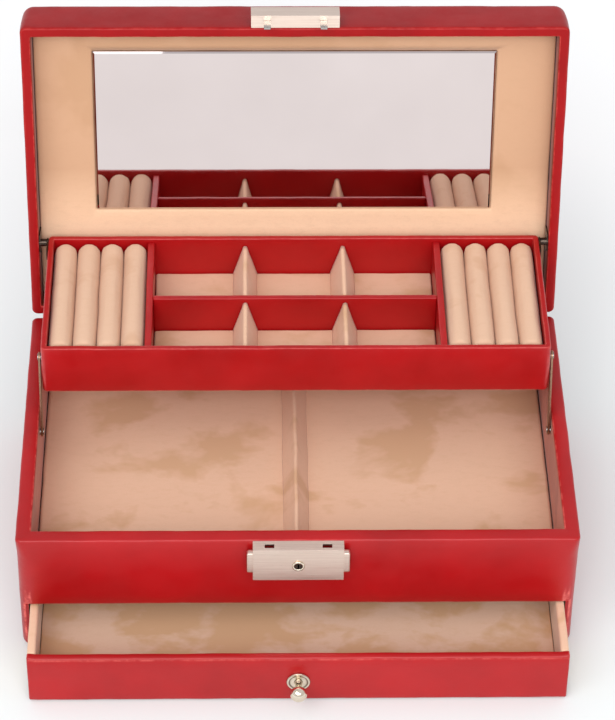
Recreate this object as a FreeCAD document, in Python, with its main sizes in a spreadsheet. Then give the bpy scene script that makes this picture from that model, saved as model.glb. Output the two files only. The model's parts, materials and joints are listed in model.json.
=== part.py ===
import FreeCAD, Part
import math
import os
import Sketcher

# Leather-covered jewellery case: a box base with one drawer and one open
# compartment, a hinged lid with a mirror, and a tray that rises with the lid on a
# parallel linkage. Units are millimetres, +Z is up, -Y is the front. The origin is
# the middle of the underside of the base. Every piece is drawn where it lies with
# the case shut, and a Placement then takes the lid, arms, tray and drawer to the
# rest pose: lid open, tray raised, drawer partly out.

Vector = FreeCAD.Vector

# A sketch's corners start on a circle of this radius, and its constraints then place them.
FIRST_GUESS = 10.0

doc = FreeCAD.newDocument("jewellery_case")
sheet = doc.addObject("Spreadsheet::Sheet", "dims")

DIMENSIONS = [
    # whole case
    ("case_width", 270.0),
    ("case_depth", 163.0),
    ("base_height", 74.0),
    ("lid_height", 30.0),
    ("rim_gap", 0.6),
    ("leather", 1.6),
    ("board", 2.8),
    ("corner_radius", 7.0),
    ("lining", 0.75),
    # base
    ("felt", 0.8),
    ("felt_inset", 4.0),
    ("slot_width", 261.2),
    ("slot_top", 30.2),
    ("shelf", 3.2),
    ("rim_width", 7.35),
    ("floor_pad", 5.6),
    ("divider_half", 6.5),
    ("divider_rise", 10.8),
    ("ridge_tip", 1.6),
    ("clearance", 0.3),
    ("overcut", 1.0),
    # drawer
    ("drawer_gap", 0.75),
    ("drawer_top_gap", 0.6),
    ("drawer_front", 4.0),
    ("drawer_side", 4.1),
    ("drawer_foot", 4.0),
    ("drawer_floor", 2.4),
    ("drawer_pad", 1.6),
    ("drawer_length", 150.0),
    ("drawer_pull", 35.2),
    ("front_foot", 1.0),
    ("knob_height", 14.0),
    ("knob_plate", 1.4),
    ("knob_rosette", 5.75),
    ("knob_stem", 1.5),
    ("knob_reach", 7.0),
    ("knob_ball", 4.1),
    ("screw_shank", 0.9),
    ("screw_head", 2.4),
    # lid
    ("open_angle", 100.0),
    ("lid_wall", 2.6),
    ("lid_foam", 6.0),
    ("panel_depth", 13.0),
    ("panel_board", 3.0),
    ("mirror_width", 200.9),
    ("mirror_low", 55.3),
    ("mirror_high", 144.4),
    ("mirror_glass", 2.0),
    # piano hinge at the back edge
    ("hinge_out", 0.5),
    ("hinge_radius", 1.5),
    ("hinge_pin", 0.7),
    ("hinge_play", 0.05),
    ("hinge_leaf", 0.6),
    ("hinge_tall", 9.0),
    ("knuckle", 44.0),
    ("hinge_half", 110.0),
    # linkage: the arms are parallel to the line from lid hinge to rear pivot
    ("link_along", 41.5),
    ("link_up", 3.5),
    ("arm_base_back", 4.0),
    ("arm_base_up", 65.5),
    ("arm_wide", 5.0),
    ("arm_thick", 1.0),
    ("arm_inset", 0.7),
    ("stud_radius", 1.1),
    ("stud_head", 1.9),
    ("stud_gap", 0.15),
    ("stud_reach", 0.45),
    ("ear_thick", 0.8),
    ("ear_long", 9.0),
    ("ear_low", 4.0),
    ("ear_high", 1.6),
    ("ear_lobe", 2.6),
    ("ear_drop", 0.4),
    ("bracket_half", 5.0),
    ("bracket_foot", 0.1),
    ("bracket_tall", 9.0),
    # tray
    ("tray_width", 250.5),
    ("tray_depth", 87.3),
    ("tray_height", 28.6),
    ("tray_front", -43.7),
    ("tray_foot", 51.0),
    ("tray_wall", 2.8),
    ("tray_board", 2.0),
    ("tray_pad", 4.1),
    ("partition", 3.5),
    ("partition_drop", 2.2),
    ("middle_width", 142.2),
    ("cross_back", -2.1),
    ("cross_half", 1.5),
    ("roll_pitch", 11.8),
    ("roll_width", 11.5),
    ("roll_drop", 2.0),
    ("ridge_spread", 25.0),
    ("ridge_half", 6.3),
    ("ridge_rise", 18.0),
    # lock and hasp
    ("lock_width", 43.5),
    ("lock_tall", 20.0),
    ("lock_out", 6.5),
    ("lock_sheet", 1.0),
    ("lock_top_gap", 0.4),
    ("lock_slot", 4.6),
    ("lock_slot_deep", 2.4),
    ("lock_window", 2.0),
    ("claw_spread", 13.8),
    ("claw_back", 3.0),
    ("claw_long", 7.0),
    ("claw_half", 1.7),
    ("claw_thick", 0.5),
    ("tab_tall", 12.7),
    ("tab_out", 2.9),
    ("tab_drop", 3.4),
    ("tab_front", 1.1),
    ("tab_behind", 2.2),
    ("wing_in", 4.4),
    ("catch_in", 4.0),
    ("catch_out", 4.6),
    ("catch_foot", 1.0),
    ("catch_gap", 1.2),
    ("key_drop", 10.4),
    ("key_ring", 3.05),
    ("key_rotor", 1.9),
    ("key_ring_out", 0.7),
    ("key_rotor_out", 0.5),
    ("key_rotor_back", 1.0),
    ("keyhole_half", 0.35),
    ("keyhole_tall", 1.3),
    ("keyhole_deep", 1.5),
    ("hasp_tall", 10.2),
]


def fill_sheet():
    """Write each driving dimension to a cell of its own and name the cell."""
    for row, (name, number) in enumerate(DIMENSIONS, start=1):
        sheet.set(f"A{row}", name)
        sheet.set(f"B{row}", str(number))
        sheet.setAlias(f"B{row}", name)
    doc.recompute()


fill_sheet()
size = {name: float(sheet.get(name)) for name, _ in DIMENSIONS}
pieces = []

# Derived levels and faces, as expressions on the sheet.
HALF_X = "dims.case_width / 2"
HALF_Y = "dims.case_depth / 2"
BOARD_X = f"({HALF_X} - dims.leather)"
BOARD_Y = f"({HALF_Y} - dims.leather)"
SLOT_X = "(dims.slot_width / 2)"
INNER_X = f"({HALF_X} - dims.rim_width)"
INNER_Y = f"({HALF_Y} - dims.rim_width)"
LINER_X = f"({INNER_X} + dims.lining)"
LINER_Y = f"({INNER_Y} + dims.lining)"
FRAME_Y = f"({BOARD_Y} - dims.board)"
BOTTOM = "(dims.felt + dims.board)"
SHELF_TOP = "(dims.slot_top + dims.shelf)"
FLOOR = f"({SHELF_TOP} + dims.floor_pad)"
RIM_BOARD = "(dims.base_height - dims.leather)"
HINGE_Y = f"({HALF_Y} + dims.hinge_out)"
HINGE_Z = "(dims.base_height + dims.rim_gap / 2)"
HINGE_ROOM = "(dims.hinge_radius + dims.clearance)"
PLAY = "dims.hinge_play"
PAST = "dims.overcut"


def place(angle=0.0, centre=(0.0, 0.0), shift=(0.0, 0.0)):
    """Turn about a line along X through centre (y, z), then shift by (y, z)."""
    middle = Vector(0, centre[0], centre[1])
    turn = FreeCAD.Placement(Vector(), FreeCAD.Rotation(Vector(1, 0, 0), angle), middle)
    move = FreeCAD.Placement(Vector(0, shift[0], shift[1]), FreeCAD.Rotation())
    return move.multiply(turn)


hinge_y = size["case_depth"] / 2 + size["hinge_out"]
hinge_z = size["base_height"] + size["rim_gap"] / 2
swing = math.radians(size["open_angle"])
link_y = -size["link_along"]
link_z = size["link_up"]
# Travel of the tray as the link turns from shut to open.
rise_y = link_y * math.cos(swing) + link_z * math.sin(swing) - link_y
rise_z = -link_y * math.sin(swing) + link_z * math.cos(swing) - link_z

AT_BASE = place()
AT_LID = place(-size["open_angle"], (hinge_y, hinge_z))
AT_ARM = place(-size["open_angle"], (size["arm_base_back"], size["arm_base_up"]))
AT_TRAY = place(shift=(rise_y, rise_z))
AT_DRAWER = place(shift=(-size["drawer_pull"], 0.0))


def publish(shape_object, name, placement):
    """Name a finished sub-part and set it in the rest pose."""
    shape_object.Label = name
    shape_object.Placement = placement
    pieces.append(shape_object)


def origin_plane(body, role):
    return next(item for item in body.Origin.OriginFeatures if item.Role == role)


def outline_sketch(body, role, corners, offset):
    """A closed polygon on one of the body's origin planes."""
    sketch = body.newObject("Sketcher::SketchObject", "outline")
    sketch.AttachmentSupport = (origin_plane(body, role), [""])
    sketch.MapMode = "FlatFace"
    sketch.setExpression("AttachmentOffset.Base.z", offset)
    count = len(corners)
    turns = [2 * math.pi * i / count for i in range(count)]
    start = [Vector(FIRST_GUESS * math.cos(turn), FIRST_GUESS * math.sin(turn), 0) for turn in turns]
    for i in range(count):
        sketch.addGeometry(Part.LineSegment(start[i], start[(i + 1) % count]), False)
    for i in range(count):
        sketch.addConstraint(Sketcher.Constraint("Coincident", i, 2, (i + 1) % count, 1))
    for i, (across, up) in enumerate(corners):
        for kind, text in (("DistanceX", across), ("DistanceY", up)):
            index = sketch.addConstraint(Sketcher.Constraint(kind, -1, 1, i, 1, 1.0))
            sketch.setExpression(f"Constraints[{index}]", text)
    return sketch


def prism(name, role, corners, start, end):
    """A straight solid between two levels along the plane's own direction.

    Levels are along +Z for XY_Plane, +Y for XZ_Plane and +X for YZ_Plane.
    """
    body = doc.addObject("PartDesign::Body", name)
    # The XZ plane faces -Y, so its solid grows from the far level to the near one.
    offset = f"-({end})" if role == "XZ_Plane" else start
    sketch = outline_sketch(body, role, corners, offset)
    pad = body.newObject("PartDesign::Pad", "thickness")
    pad.Profile = sketch
    pad.setExpression("Length", f"({end}) - ({start})")
    return body


def block(name, x, y, z):
    """A rectangular board: x, y and z are (low, high) expressions."""
    corners = [(x[0], y[0]), (x[1], y[0]), (x[1], y[1]), (x[0], y[1])]
    return prism(name, "XY_Plane", corners, z[0], z[1])


def spread(half):
    return (f"-({half})", f"({half})")


def sides(low, high, sign):
    """The same stretch on the right (+1) or the left (-1)."""
    return (low, high) if sign > 0 else (f"-({high})", f"-({low})")


def rounded_block(name, x, y, z, radius):
    """A board whose four upright edges are rounded."""
    body = block(name, x, y, z)
    doc.recompute()
    pad = body.Tip
    upright = [f"Edge{i}" for i, edge in enumerate(body.Shape.Edges, start=1)
               if edge.BoundBox.XLength < 0.01 and edge.BoundBox.YLength < 0.01]
    fillet = body.newObject("PartDesign::Fillet", "corners")
    fillet.Base = (pad, upright)
    fillet.setExpression("Radius", radius)
    return body


def rod(name, radius, x, y, z, axis="X"):
    """A round bar; the stretch along its axis is (low, high), the others a centre."""
    bar = doc.addObject("Part::Cylinder", name)
    bar.setExpression("Radius", radius)
    spans = {"X": x, "Y": y, "Z": z}
    low, high = spans[axis]
    bar.setExpression("Height", f"({high}) - ({low})")
    turns = {"X": (Vector(0, 1, 0), 90), "Y": (Vector(1, 0, 0), -90), "Z": (Vector(0, 0, 1), 0)}
    bar.Placement = FreeCAD.Placement(Vector(), FreeCAD.Rotation(*turns[axis]))
    for letter, place_at in spans.items():
        bar.setExpression(f"Placement.Base.{letter.lower()}", place_at[0] if letter == axis else place_at)
    return bar


def fuse(name, members):
    whole = doc.addObject("Part::MultiFuse", name)
    whole.Shapes = members
    return whole


def cut(name, base, tool):
    rest = doc.addObject("Part::Cut", name)
    rest.Base = base
    rest.Tool = tool
    return rest


def cut_all(name, base, tools):
    for number, tool in enumerate(tools, start=1):
        base = cut(f"{name}_step_{number}", base, tool)
    return base


def group(name, members):
    """Several separate solids of one kind in one sub-part."""
    together = doc.addObject("Part::Compound", name)
    together.Links = members
    return together


# ---------------------------------------------------------------- base

def make_base_box():
    publish(block("base_felt", spread(f"({BOARD_X} - dims.felt_inset)"),
                  spread(f"({BOARD_Y} - dims.felt_inset)"),
                  ("0", "dims.felt")), "base_felt", AT_BASE)
    front_of_bottom = f"-{HALF_Y} + dims.drawer_front + dims.drawer_top_gap"
    publish(block("base_bottom", spread(SLOT_X), (front_of_bottom, BOARD_Y),
                  ("dims.felt", BOTTOM)), "base_bottom", AT_BASE)
    for side, sign in (("left", -1), ("right", 1)):
        name = f"base_side_{side}"
        publish(block(name, sides(SLOT_X, BOARD_X, sign), spread(FRAME_Y),
                      ("dims.felt", RIM_BOARD)), name, AT_BASE)
    publish(block("base_back", spread(SLOT_X), (FRAME_Y, BOARD_Y), (BOTTOM, RIM_BOARD)),
            "base_back", AT_BASE)
    publish(block("base_front_panel", spread(SLOT_X), (f"-{BOARD_Y}", f"-{FRAME_Y}"),
                  ("dims.slot_top", RIM_BOARD)), "base_front_panel", AT_BASE)
    publish(block("drawer_shelf", spread(SLOT_X), spread(FRAME_Y),
                  ("dims.slot_top", SHELF_TOP)), "drawer_shelf", AT_BASE)


def make_compartment():
    """The inner boards that thicken the rim, their suede, the floor and its ridge."""
    up = (SHELF_TOP, RIM_BOARD)
    frame = [
        block("frame_left", sides(LINER_X, SLOT_X, -1), spread(LINER_Y), up),
        block("frame_right", sides(LINER_X, SLOT_X, 1), spread(LINER_Y), up),
        block("frame_front", spread(SLOT_X), (f"-{FRAME_Y}", f"-{LINER_Y}"), up),
        block("frame_back", spread(SLOT_X), (LINER_Y, FRAME_Y), up),
    ]
    publish(group("compartment_frame", frame), "compartment_frame", AT_BASE)
    lining = cut("lining_ring", block("lining_outer", spread(LINER_X), spread(LINER_Y), up),
                 block("lining_inner", spread(INNER_X), spread(INNER_Y), up))
    publish(lining, "compartment_lining", AT_BASE)
    floor_x = f"({INNER_X} - dims.clearance)"
    floor_y = f"({INNER_Y} - dims.clearance)"
    publish(block("compartment_floor", spread(floor_x), spread(floor_y), (SHELF_TOP, FLOOR)),
            "compartment_floor", AT_BASE)
    publish(ridge("compartment_ridge", "0", "dims.divider_half", FLOOR, "dims.divider_rise",
                  spread(floor_y)), "compartment_ridge", AT_BASE)


def ridge(name, middle, half, foot, rise, along):
    """A suede tent: a narrow-topped ridge running front to back."""
    corners = [
        (f"{middle} - {half}", foot),
        (f"{middle} + {half}", foot),
        (f"{middle} + dims.ridge_tip / 2", f"{foot} + {rise}"),
        (f"{middle} - dims.ridge_tip / 2", f"{foot} + {rise}"),
    ]
    return prism(name, "XZ_Plane", corners, along[0], along[1])


def hinge_rebate(name):
    """The step along the back edge of a rim that the hinge barrels lie in."""
    return block(name, spread("(dims.hinge_half + dims.clearance)"),
                 (f"{HINGE_Y} - {HINGE_ROOM}", f"{HINGE_Y} + {HINGE_ROOM}"),
                 (f"{HINGE_Z} - {HINGE_ROOM}", f"{HINGE_Z} + {HINGE_ROOM}"))


def make_base_leather():
    """One hide over the outside of the base, turned over the rim to the lining."""
    skin = rounded_block("hide_outer", spread(HALF_X), spread(HALF_Y),
                         ("dims.felt", "dims.base_height"), "dims.corner_radius")
    across = block("hide_across", spread(BOARD_X), spread(FRAME_Y), ("0", RIM_BOARD))
    along = block("hide_along", spread(SLOT_X), spread(BOARD_Y), ("0", RIM_BOARD))
    mouth = block("hide_mouth", spread(INNER_X), spread(INNER_Y), ("0", f"dims.base_height + {PAST}"))
    slot = block("hide_slot", spread(SLOT_X), (f"-{HALF_Y} - {PAST}", "0"), ("0", "dims.slot_top"))
    tools = [across, along, mouth, slot, hinge_rebate("base_rebate")]
    publish(cut_all("base_hide", skin, tools), "base_leather", AT_BASE)


# ---------------------------------------------------------------- drawer

DRAWER_X = "(dims.slot_width / 2 - dims.drawer_gap)"
DRAWER_TOP = "(dims.slot_top - dims.drawer_top_gap)"
DRAWER_FACE = f"(-{HALF_Y})"
DRAWER_HIDE = f"({DRAWER_FACE} + dims.leather)"
DRAWER_FRONT = f"({DRAWER_FACE} + dims.drawer_front)"
DRAWER_BACK = f"({DRAWER_FRONT} + dims.drawer_length)"
DRAWER_IN_X = f"({DRAWER_X} - dims.drawer_side)"
DRAWER_IN_BACK = f"({DRAWER_BACK} - dims.drawer_side)"
DRAWER_LEVEL = "(dims.drawer_foot + dims.drawer_floor)"
FRONT_X = f"({DRAWER_X} - dims.leather)"
FRONT_UP = ("dims.felt + dims.front_foot", f"{DRAWER_TOP} - dims.leather")


def make_drawer():
    up = ("dims.drawer_foot", DRAWER_TOP)
    publish(block("drawer_front_board", spread(FRONT_X), (DRAWER_HIDE, DRAWER_FRONT), FRONT_UP),
            "drawer_front_board", AT_DRAWER)
    cover = block("front_cover", spread(DRAWER_X), (DRAWER_FACE, DRAWER_FRONT), ("dims.felt", DRAWER_TOP))
    room = block("front_room", spread(FRONT_X), (DRAWER_HIDE, f"{DRAWER_FRONT} + {PAST}"), FRONT_UP)
    publish(cut("drawer_cover", cover, room), "drawer_front_leather", AT_DRAWER)
    for side, sign in (("left", -1), ("right", 1)):
        name = f"drawer_side_{side}"
        publish(block(name, sides(DRAWER_IN_X, DRAWER_X, sign), (DRAWER_FRONT, DRAWER_BACK), up),
                name, AT_DRAWER)
    publish(block("drawer_back", spread(DRAWER_IN_X), (DRAWER_IN_BACK, DRAWER_BACK), up),
            "drawer_back", AT_DRAWER)
    inside = (DRAWER_FRONT, DRAWER_IN_BACK)
    publish(block("drawer_bottom", spread(DRAWER_IN_X), inside, ("dims.drawer_foot", DRAWER_LEVEL)),
            "drawer_bottom", AT_DRAWER)
    publish(block("drawer_pad", spread(f"({DRAWER_IN_X} - dims.clearance)"),
                  (f"{DRAWER_FRONT} + dims.clearance", f"{DRAWER_IN_BACK} - dims.clearance"),
                  (DRAWER_LEVEL, f"{DRAWER_LEVEL} + dims.drawer_pad")), "drawer_pad", AT_DRAWER)


def make_knob():
    """Rosette, turned knob and the screw that holds them from inside the drawer."""
    level = "dims.knob_height"
    rosette_front = f"({DRAWER_FACE} - dims.knob_plate)"
    knob_end = f"({rosette_front} - dims.knob_reach)"
    disc = rod("disc", "dims.knob_rosette", "0", (rosette_front, DRAWER_FACE), level, "Y")
    publish(group("rosette", [disc]), "knob_rosette", AT_DRAWER)
    stem = rod("stem", "dims.knob_stem", "0", (knob_end, rosette_front), level, "Y")
    ball = doc.addObject("Part::Sphere", "ball")
    ball.setExpression("Radius", "dims.knob_ball")
    ball.setExpression("Placement.Base.y", knob_end)
    ball.setExpression("Placement.Base.z", level)
    publish(fuse("turned_knob", [stem, ball]), "drawer_knob", AT_DRAWER)
    shank = rod("shank", "dims.screw_shank", "0", (DRAWER_FACE, DRAWER_FRONT), level, "Y")
    head_face = f"{DRAWER_FRONT} + dims.clearance"
    head = rod("head", "dims.screw_head", "0", (DRAWER_FRONT, head_face), level, "Y")
    publish(fuse("screw", [shank, head]), "knob_screw", AT_DRAWER)


# ---------------------------------------------------------------- lid

LID_FOOT = "(dims.base_height + dims.rim_gap)"
LID_TOP = f"({LID_FOOT} + dims.lid_height)"
LID_IN_X = f"({BOARD_X} - dims.lid_wall)"
LID_IN_Y = f"({BOARD_Y} - dims.lid_wall)"
LID_RIM = f"({LID_FOOT} + dims.leather)"
LID_BOARD_TOP = f"({LID_TOP} - dims.leather - dims.lid_foam)"
LID_BOARD_LOW = f"({LID_BOARD_TOP} - dims.board)"
PANEL_FACE = f"({LID_FOOT} + dims.panel_depth)"
LID_HOLLOW_X = f"({LID_IN_X} - dims.lining)"
LID_HOLLOW_Y = f"({LID_IN_Y} - dims.lining)"


def make_lid():
    publish(rounded_block("lid_board", spread(BOARD_X), spread(BOARD_Y), (LID_BOARD_LOW, LID_BOARD_TOP),
                          "dims.corner_radius - dims.leather"), "lid_board", AT_LID)
    publish(rounded_block("foam", spread(BOARD_X), spread(BOARD_Y),
                          (LID_BOARD_TOP, f"{LID_TOP} - dims.leather"), "dims.corner_radius - dims.leather"),
            "lid_foam", AT_LID)
    up = (LID_RIM, LID_BOARD_LOW)
    for side, sign in (("left", -1), ("right", 1)):
        name = f"lid_side_{side}"
        publish(block(name, sides(LID_IN_X, BOARD_X, sign), spread(LID_IN_Y), up), name, AT_LID)
    for end, sign in (("front", -1), ("back", 1)):
        name = f"lid_{end}"
        publish(block(name, spread(LID_IN_X), sides(LID_IN_Y, BOARD_Y, sign), up), name, AT_LID)
    lining = cut("lid_ring", block("lid_ring_outer", spread(LID_IN_X), spread(LID_IN_Y), up),
                 block("lid_ring_inner", spread(LID_HOLLOW_X), spread(LID_HOLLOW_Y), up))
    publish(lining, "lid_lining", AT_LID)


def make_lid_leather():
    skin = rounded_block("lid_hide_outer", spread(HALF_X), spread(HALF_Y), (LID_FOOT, LID_TOP),
                         "dims.corner_radius")
    across = block("lid_hide_across", spread(BOARD_X), spread(LID_IN_Y), (LID_RIM, LID_BOARD_TOP))
    along = block("lid_hide_along", spread(LID_IN_X), spread(BOARD_Y), (LID_RIM, LID_BOARD_TOP))
    above = rounded_block("lid_hide_above", spread(BOARD_X), spread(BOARD_Y),
                          (LID_BOARD_LOW, f"{LID_TOP} - dims.leather"), "dims.corner_radius - dims.leather")
    mouth = block("lid_hide_mouth", spread(LID_HOLLOW_X), spread(LID_HOLLOW_Y),
                  (f"{LID_FOOT} - {PAST}", f"{LID_RIM} + {PAST}"))
    tools = [across, along, above, mouth, hinge_rebate("lid_rebate")]
    publish(cut_all("lid_hide", skin, tools), "lid_leather", AT_LID)


def make_mirror():
    """The suede panel inside the lid, and the mirror let into its face."""
    reach = (f"{HINGE_Y} - dims.mirror_high", f"{HINGE_Y} - dims.mirror_low")
    wide = spread("(dims.mirror_width / 2)")
    deep = f"({PANEL_FACE} + dims.mirror_glass)"
    panel = block("panel", spread(f"({LID_HOLLOW_X} - dims.clearance)"),
                  spread(f"({LID_HOLLOW_Y} - dims.clearance)"),
                  (PANEL_FACE, f"{PANEL_FACE} + dims.panel_board"))
    recess = block("recess", wide, reach, (f"{PANEL_FACE} - {PAST}", deep))
    publish(cut("panel_with_recess", panel, recess), "lid_panel", AT_LID)
    publish(block("glass", wide, reach, (PANEL_FACE, deep)), "mirror", AT_LID)


# ---------------------------------------------------------------- hinge

KNUCKLES = 5


def knuckles(name, first, neck):
    """Every second barrel of the hinge from place first, each on its neck."""
    barrels = []
    for number in range(first, KNUCKLES, 2):
        low = f"{number} * dims.knuckle - dims.hinge_half + dims.clearance / 2"
        high = f"{number + 1} * dims.knuckle - dims.hinge_half - dims.clearance / 2"
        barrels.append(rod(f"{name}_barrel", "dims.hinge_radius", (low, high), HINGE_Y, HINGE_Z))
        barrels.append(block(f"{name}_neck", (low, high), (HALF_Y, f"{HALF_Y} + dims.hinge_leaf"), neck))
    return barrels


def hinge_half(name, first, span, neck, placement):
    """One leaf with its barrels, bored for the pin."""
    leaf = block(f"{name}_leaf", spread("dims.hinge_half"), (HALF_Y, f"{HALF_Y} + dims.hinge_leaf"), span)
    solid = fuse(f"{name}_solid", [leaf] + knuckles(name, first, neck))
    ends = (f"-dims.hinge_half - {PAST}", f"dims.hinge_half + {PAST}")
    bore = rod(f"{name}_bore", f"dims.hinge_pin + {PLAY}", ends, HINGE_Y, HINGE_Z)
    publish(cut(f"{name}_bored", solid, bore), name, placement)


def make_hinge():
    under = f"{HINGE_Z} - {HINGE_ROOM}"
    above = f"{HINGE_Z} + {HINGE_ROOM}"
    low_leaf = (f"{under} - dims.hinge_tall", under)
    high_leaf = (above, f"{above} + dims.hinge_tall")
    hinge_half("hinge_leaf_base", 0, low_leaf, (f"{under} - {PAST}", HINGE_Z), AT_BASE)
    hinge_half("hinge_leaf_lid", 1, high_leaf, (HINGE_Z, f"{above} + {PAST}"), AT_LID)
    pin = rod("pin", "dims.hinge_pin", ("-dims.hinge_half", "dims.hinge_half"), HINGE_Y, HINGE_Z)
    publish(group("hinge_axle", [pin]), "hinge_pin", AT_BASE)


# ---------------------------------------------------------------- tray

TRAY_X = "(dims.tray_width / 2)"
TRAY_IN_X = f"({TRAY_X} - dims.tray_wall)"
TRAY_BACK = "(dims.tray_front + dims.tray_depth)"
TRAY_IN_FRONT = "(dims.tray_front + dims.tray_wall)"
TRAY_IN_BACK = f"({TRAY_BACK} - dims.tray_wall)"
TRAY_RIM = "(dims.tray_foot + dims.tray_height)"
TRAY_LEVEL = "(dims.tray_foot + dims.tray_board)"
PAD_TOP = f"({TRAY_LEVEL} + dims.tray_pad)"
PARTITION_TOP = f"({TRAY_RIM} - dims.partition_drop)"
MIDDLE_X = "(dims.middle_width / 2)"
CROSS_FRONT = "(dims.cross_back - dims.cross_half)"
CROSS_REAR = "(dims.cross_back + dims.cross_half)"


def make_tray_box():
    up = ("dims.tray_foot", TRAY_RIM)
    inside = (TRAY_IN_FRONT, TRAY_IN_BACK)
    for side, sign in (("left", -1), ("right", 1)):
        name = f"tray_side_{side}"
        publish(block(name, sides(TRAY_IN_X, TRAY_X, sign), inside, up), name, AT_TRAY)
        name = f"tray_partition_{side}"
        across = sides(MIDDLE_X, f"{MIDDLE_X} + dims.partition", sign)
        publish(block(name, across, inside, (TRAY_LEVEL, PARTITION_TOP)), name, AT_TRAY)
    front = ("dims.tray_front", TRAY_IN_FRONT)
    publish(block("tray_front", spread(TRAY_X), front, up), "tray_front", AT_TRAY)
    publish(block("tray_back", spread(TRAY_X), (TRAY_IN_BACK, TRAY_BACK), up), "tray_back", AT_TRAY)
    publish(block("tray_bottom", spread(TRAY_IN_X), (TRAY_IN_FRONT, TRAY_IN_BACK),
                  ("dims.tray_foot", TRAY_LEVEL)), "tray_bottom", AT_TRAY)
    publish(block("cross_partition", spread(MIDDLE_X), (CROSS_FRONT, CROSS_REAR),
                  (TRAY_LEVEL, PARTITION_TOP)), "tray_cross_partition", AT_TRAY)


def make_tray_linings():
    """A suede floor in each row of the middle bay, with its two tent-shaped ridges."""
    floors = []
    ridges = []
    for near, far in ((TRAY_IN_FRONT, CROSS_FRONT), (CROSS_REAR, TRAY_IN_BACK)):
        along = (f"{near} + dims.clearance", f"{far} - dims.clearance")
        floors.append(block("floor_pad", spread(f"({MIDDLE_X} - dims.clearance)"), along,
                            (TRAY_LEVEL, PAD_TOP)))
        for middle in ("-dims.ridge_spread", "dims.ridge_spread"):
            ridges.append(ridge("tent", middle, "dims.ridge_half", PAD_TOP, "dims.ridge_rise", along))
    publish(group("floors", floors), "tray_floors", AT_TRAY)
    publish(group("ridges", ridges), "tray_ridges", AT_TRAY)


def make_ring_rolls():
    """Four padded bars in each end bay; rings are held between them."""
    bay = f"({MIDDLE_X} + dims.partition)"
    centre = f"(({bay} + {TRAY_IN_X}) / 2)"
    along = (f"{TRAY_IN_FRONT} + dims.clearance", f"{TRAY_IN_BACK} - dims.clearance")
    radius = "(dims.roll_width / 2)"
    crown = f"({TRAY_RIM} - dims.roll_drop - {radius})"
    for side, sign in (("left", -1), ("right", 1)):
        rolls = []
        for number in range(4):
            middle = f"({sign} * {centre} + ({number} - 1.5) * dims.roll_pitch)"
            body = block(f"roll_body_{side}_{number}", (f"{middle} - {radius}", f"{middle} + {radius}"),
                         along, (TRAY_LEVEL, crown))
            top = rod(f"roll_top_{side}_{number}", radius, middle, along, crown, "Y")
            rolls.append(fuse(f"roll_{side}_{number}", [body, top]))
        publish(group(f"rolls_{side}", rolls), f"ring_rolls_{side}", AT_TRAY)


# ---------------------------------------------------------------- linkage

ARM_IN = f"({TRAY_X} + dims.arm_inset)"
ARM_OUT = f"({ARM_IN} + dims.arm_thick)"
ARM_Y = "dims.arm_base_back"
ARM_Z = "dims.arm_base_up"
FAR_Y = "(dims.arm_base_back - dims.link_along)"
FAR_Z = "(dims.arm_base_up + dims.link_up)"
REAR_Y = f"({HINGE_Y} - dims.link_along)"
REAR_Z = f"({HINGE_Z} + dims.link_up)"


def make_arm(side, sign):
    """A flat bar between two studs; the upper hole is eased on the right arm."""
    flat = sides(ARM_IN, ARM_OUT, sign)
    tilt = math.degrees(math.atan2(size["link_up"], -size["link_along"]))
    reach = "sqrt(dims.link_along ^ 2 + dims.link_up ^ 2)"
    bar = block(f"arm_bar_{side}", flat, ("0", reach), spread("(dims.arm_wide / 2)"))
    bar.Placement = FreeCAD.Placement(Vector(0, size["arm_base_back"], size["arm_base_up"]),
                                      FreeCAD.Rotation(Vector(1, 0, 0), tilt))
    ends = [rod(f"arm_end_{side}", "dims.arm_wide / 2", flat, y, z)
            for y, z in ((ARM_Y, ARM_Z), (FAR_Y, FAR_Z))]
    ease = PLAY if side == "left" else "dims.clearance"
    through = sides(f"{ARM_IN} - {PAST}", f"{ARM_OUT} + {PAST}", sign)
    holes = [rod(f"arm_hole_{side}", f"dims.stud_radius + {play}", through, y, z)
             for y, z, play in ((ARM_Y, ARM_Z, PLAY), (FAR_Y, FAR_Z, ease))]
    name = f"arm_{side}"
    publish(cut_all(f"{name}_bar", fuse(f"{name}_solid", [bar] + ends), holes), name, AT_ARM)


def stud(name, foot, tip, washer, head, y, z, sign):
    """A pin from foot to tip along X with a flat washer and a round head."""
    return fuse(name, [
        rod(f"{name}_pin", "dims.stud_radius", sides(foot, tip, sign), y, z),
        rod(f"{name}_washer", "dims.stud_head", sides(washer[0], washer[1], sign), y, z),
        rod(f"{name}_head", "dims.stud_head", sides(head[0], head[1], sign), y, z),
    ])


def make_studs():
    """Studs on the base walls and on the tray sides that carry the two arms."""
    base_studs = []
    tray_studs = []
    near_face = f"{ARM_IN} - dims.stud_gap"
    far_face = f"{ARM_OUT} + dims.stud_gap"
    inner_head = (f"{ARM_IN} - dims.stud_reach", near_face)
    outer_head = (far_face, f"{ARM_OUT} + dims.stud_reach")
    for side, sign in (("left", -1), ("right", 1)):
        base_studs.append(stud(f"base_stud_{side}", inner_head[0], INNER_X, (far_face, INNER_X),
                               inner_head, ARM_Y, ARM_Z, sign))
        tray_studs.append(stud(f"tray_stud_{side}", TRAY_X, outer_head[1], (TRAY_X, near_face),
                               outer_head, FAR_Y, FAR_Z, sign))
    publish(group("base_studs", base_studs), "base_arm_studs", AT_BASE)
    publish(group("tray_studs", tray_studs), "tray_arm_studs", AT_TRAY)


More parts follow.
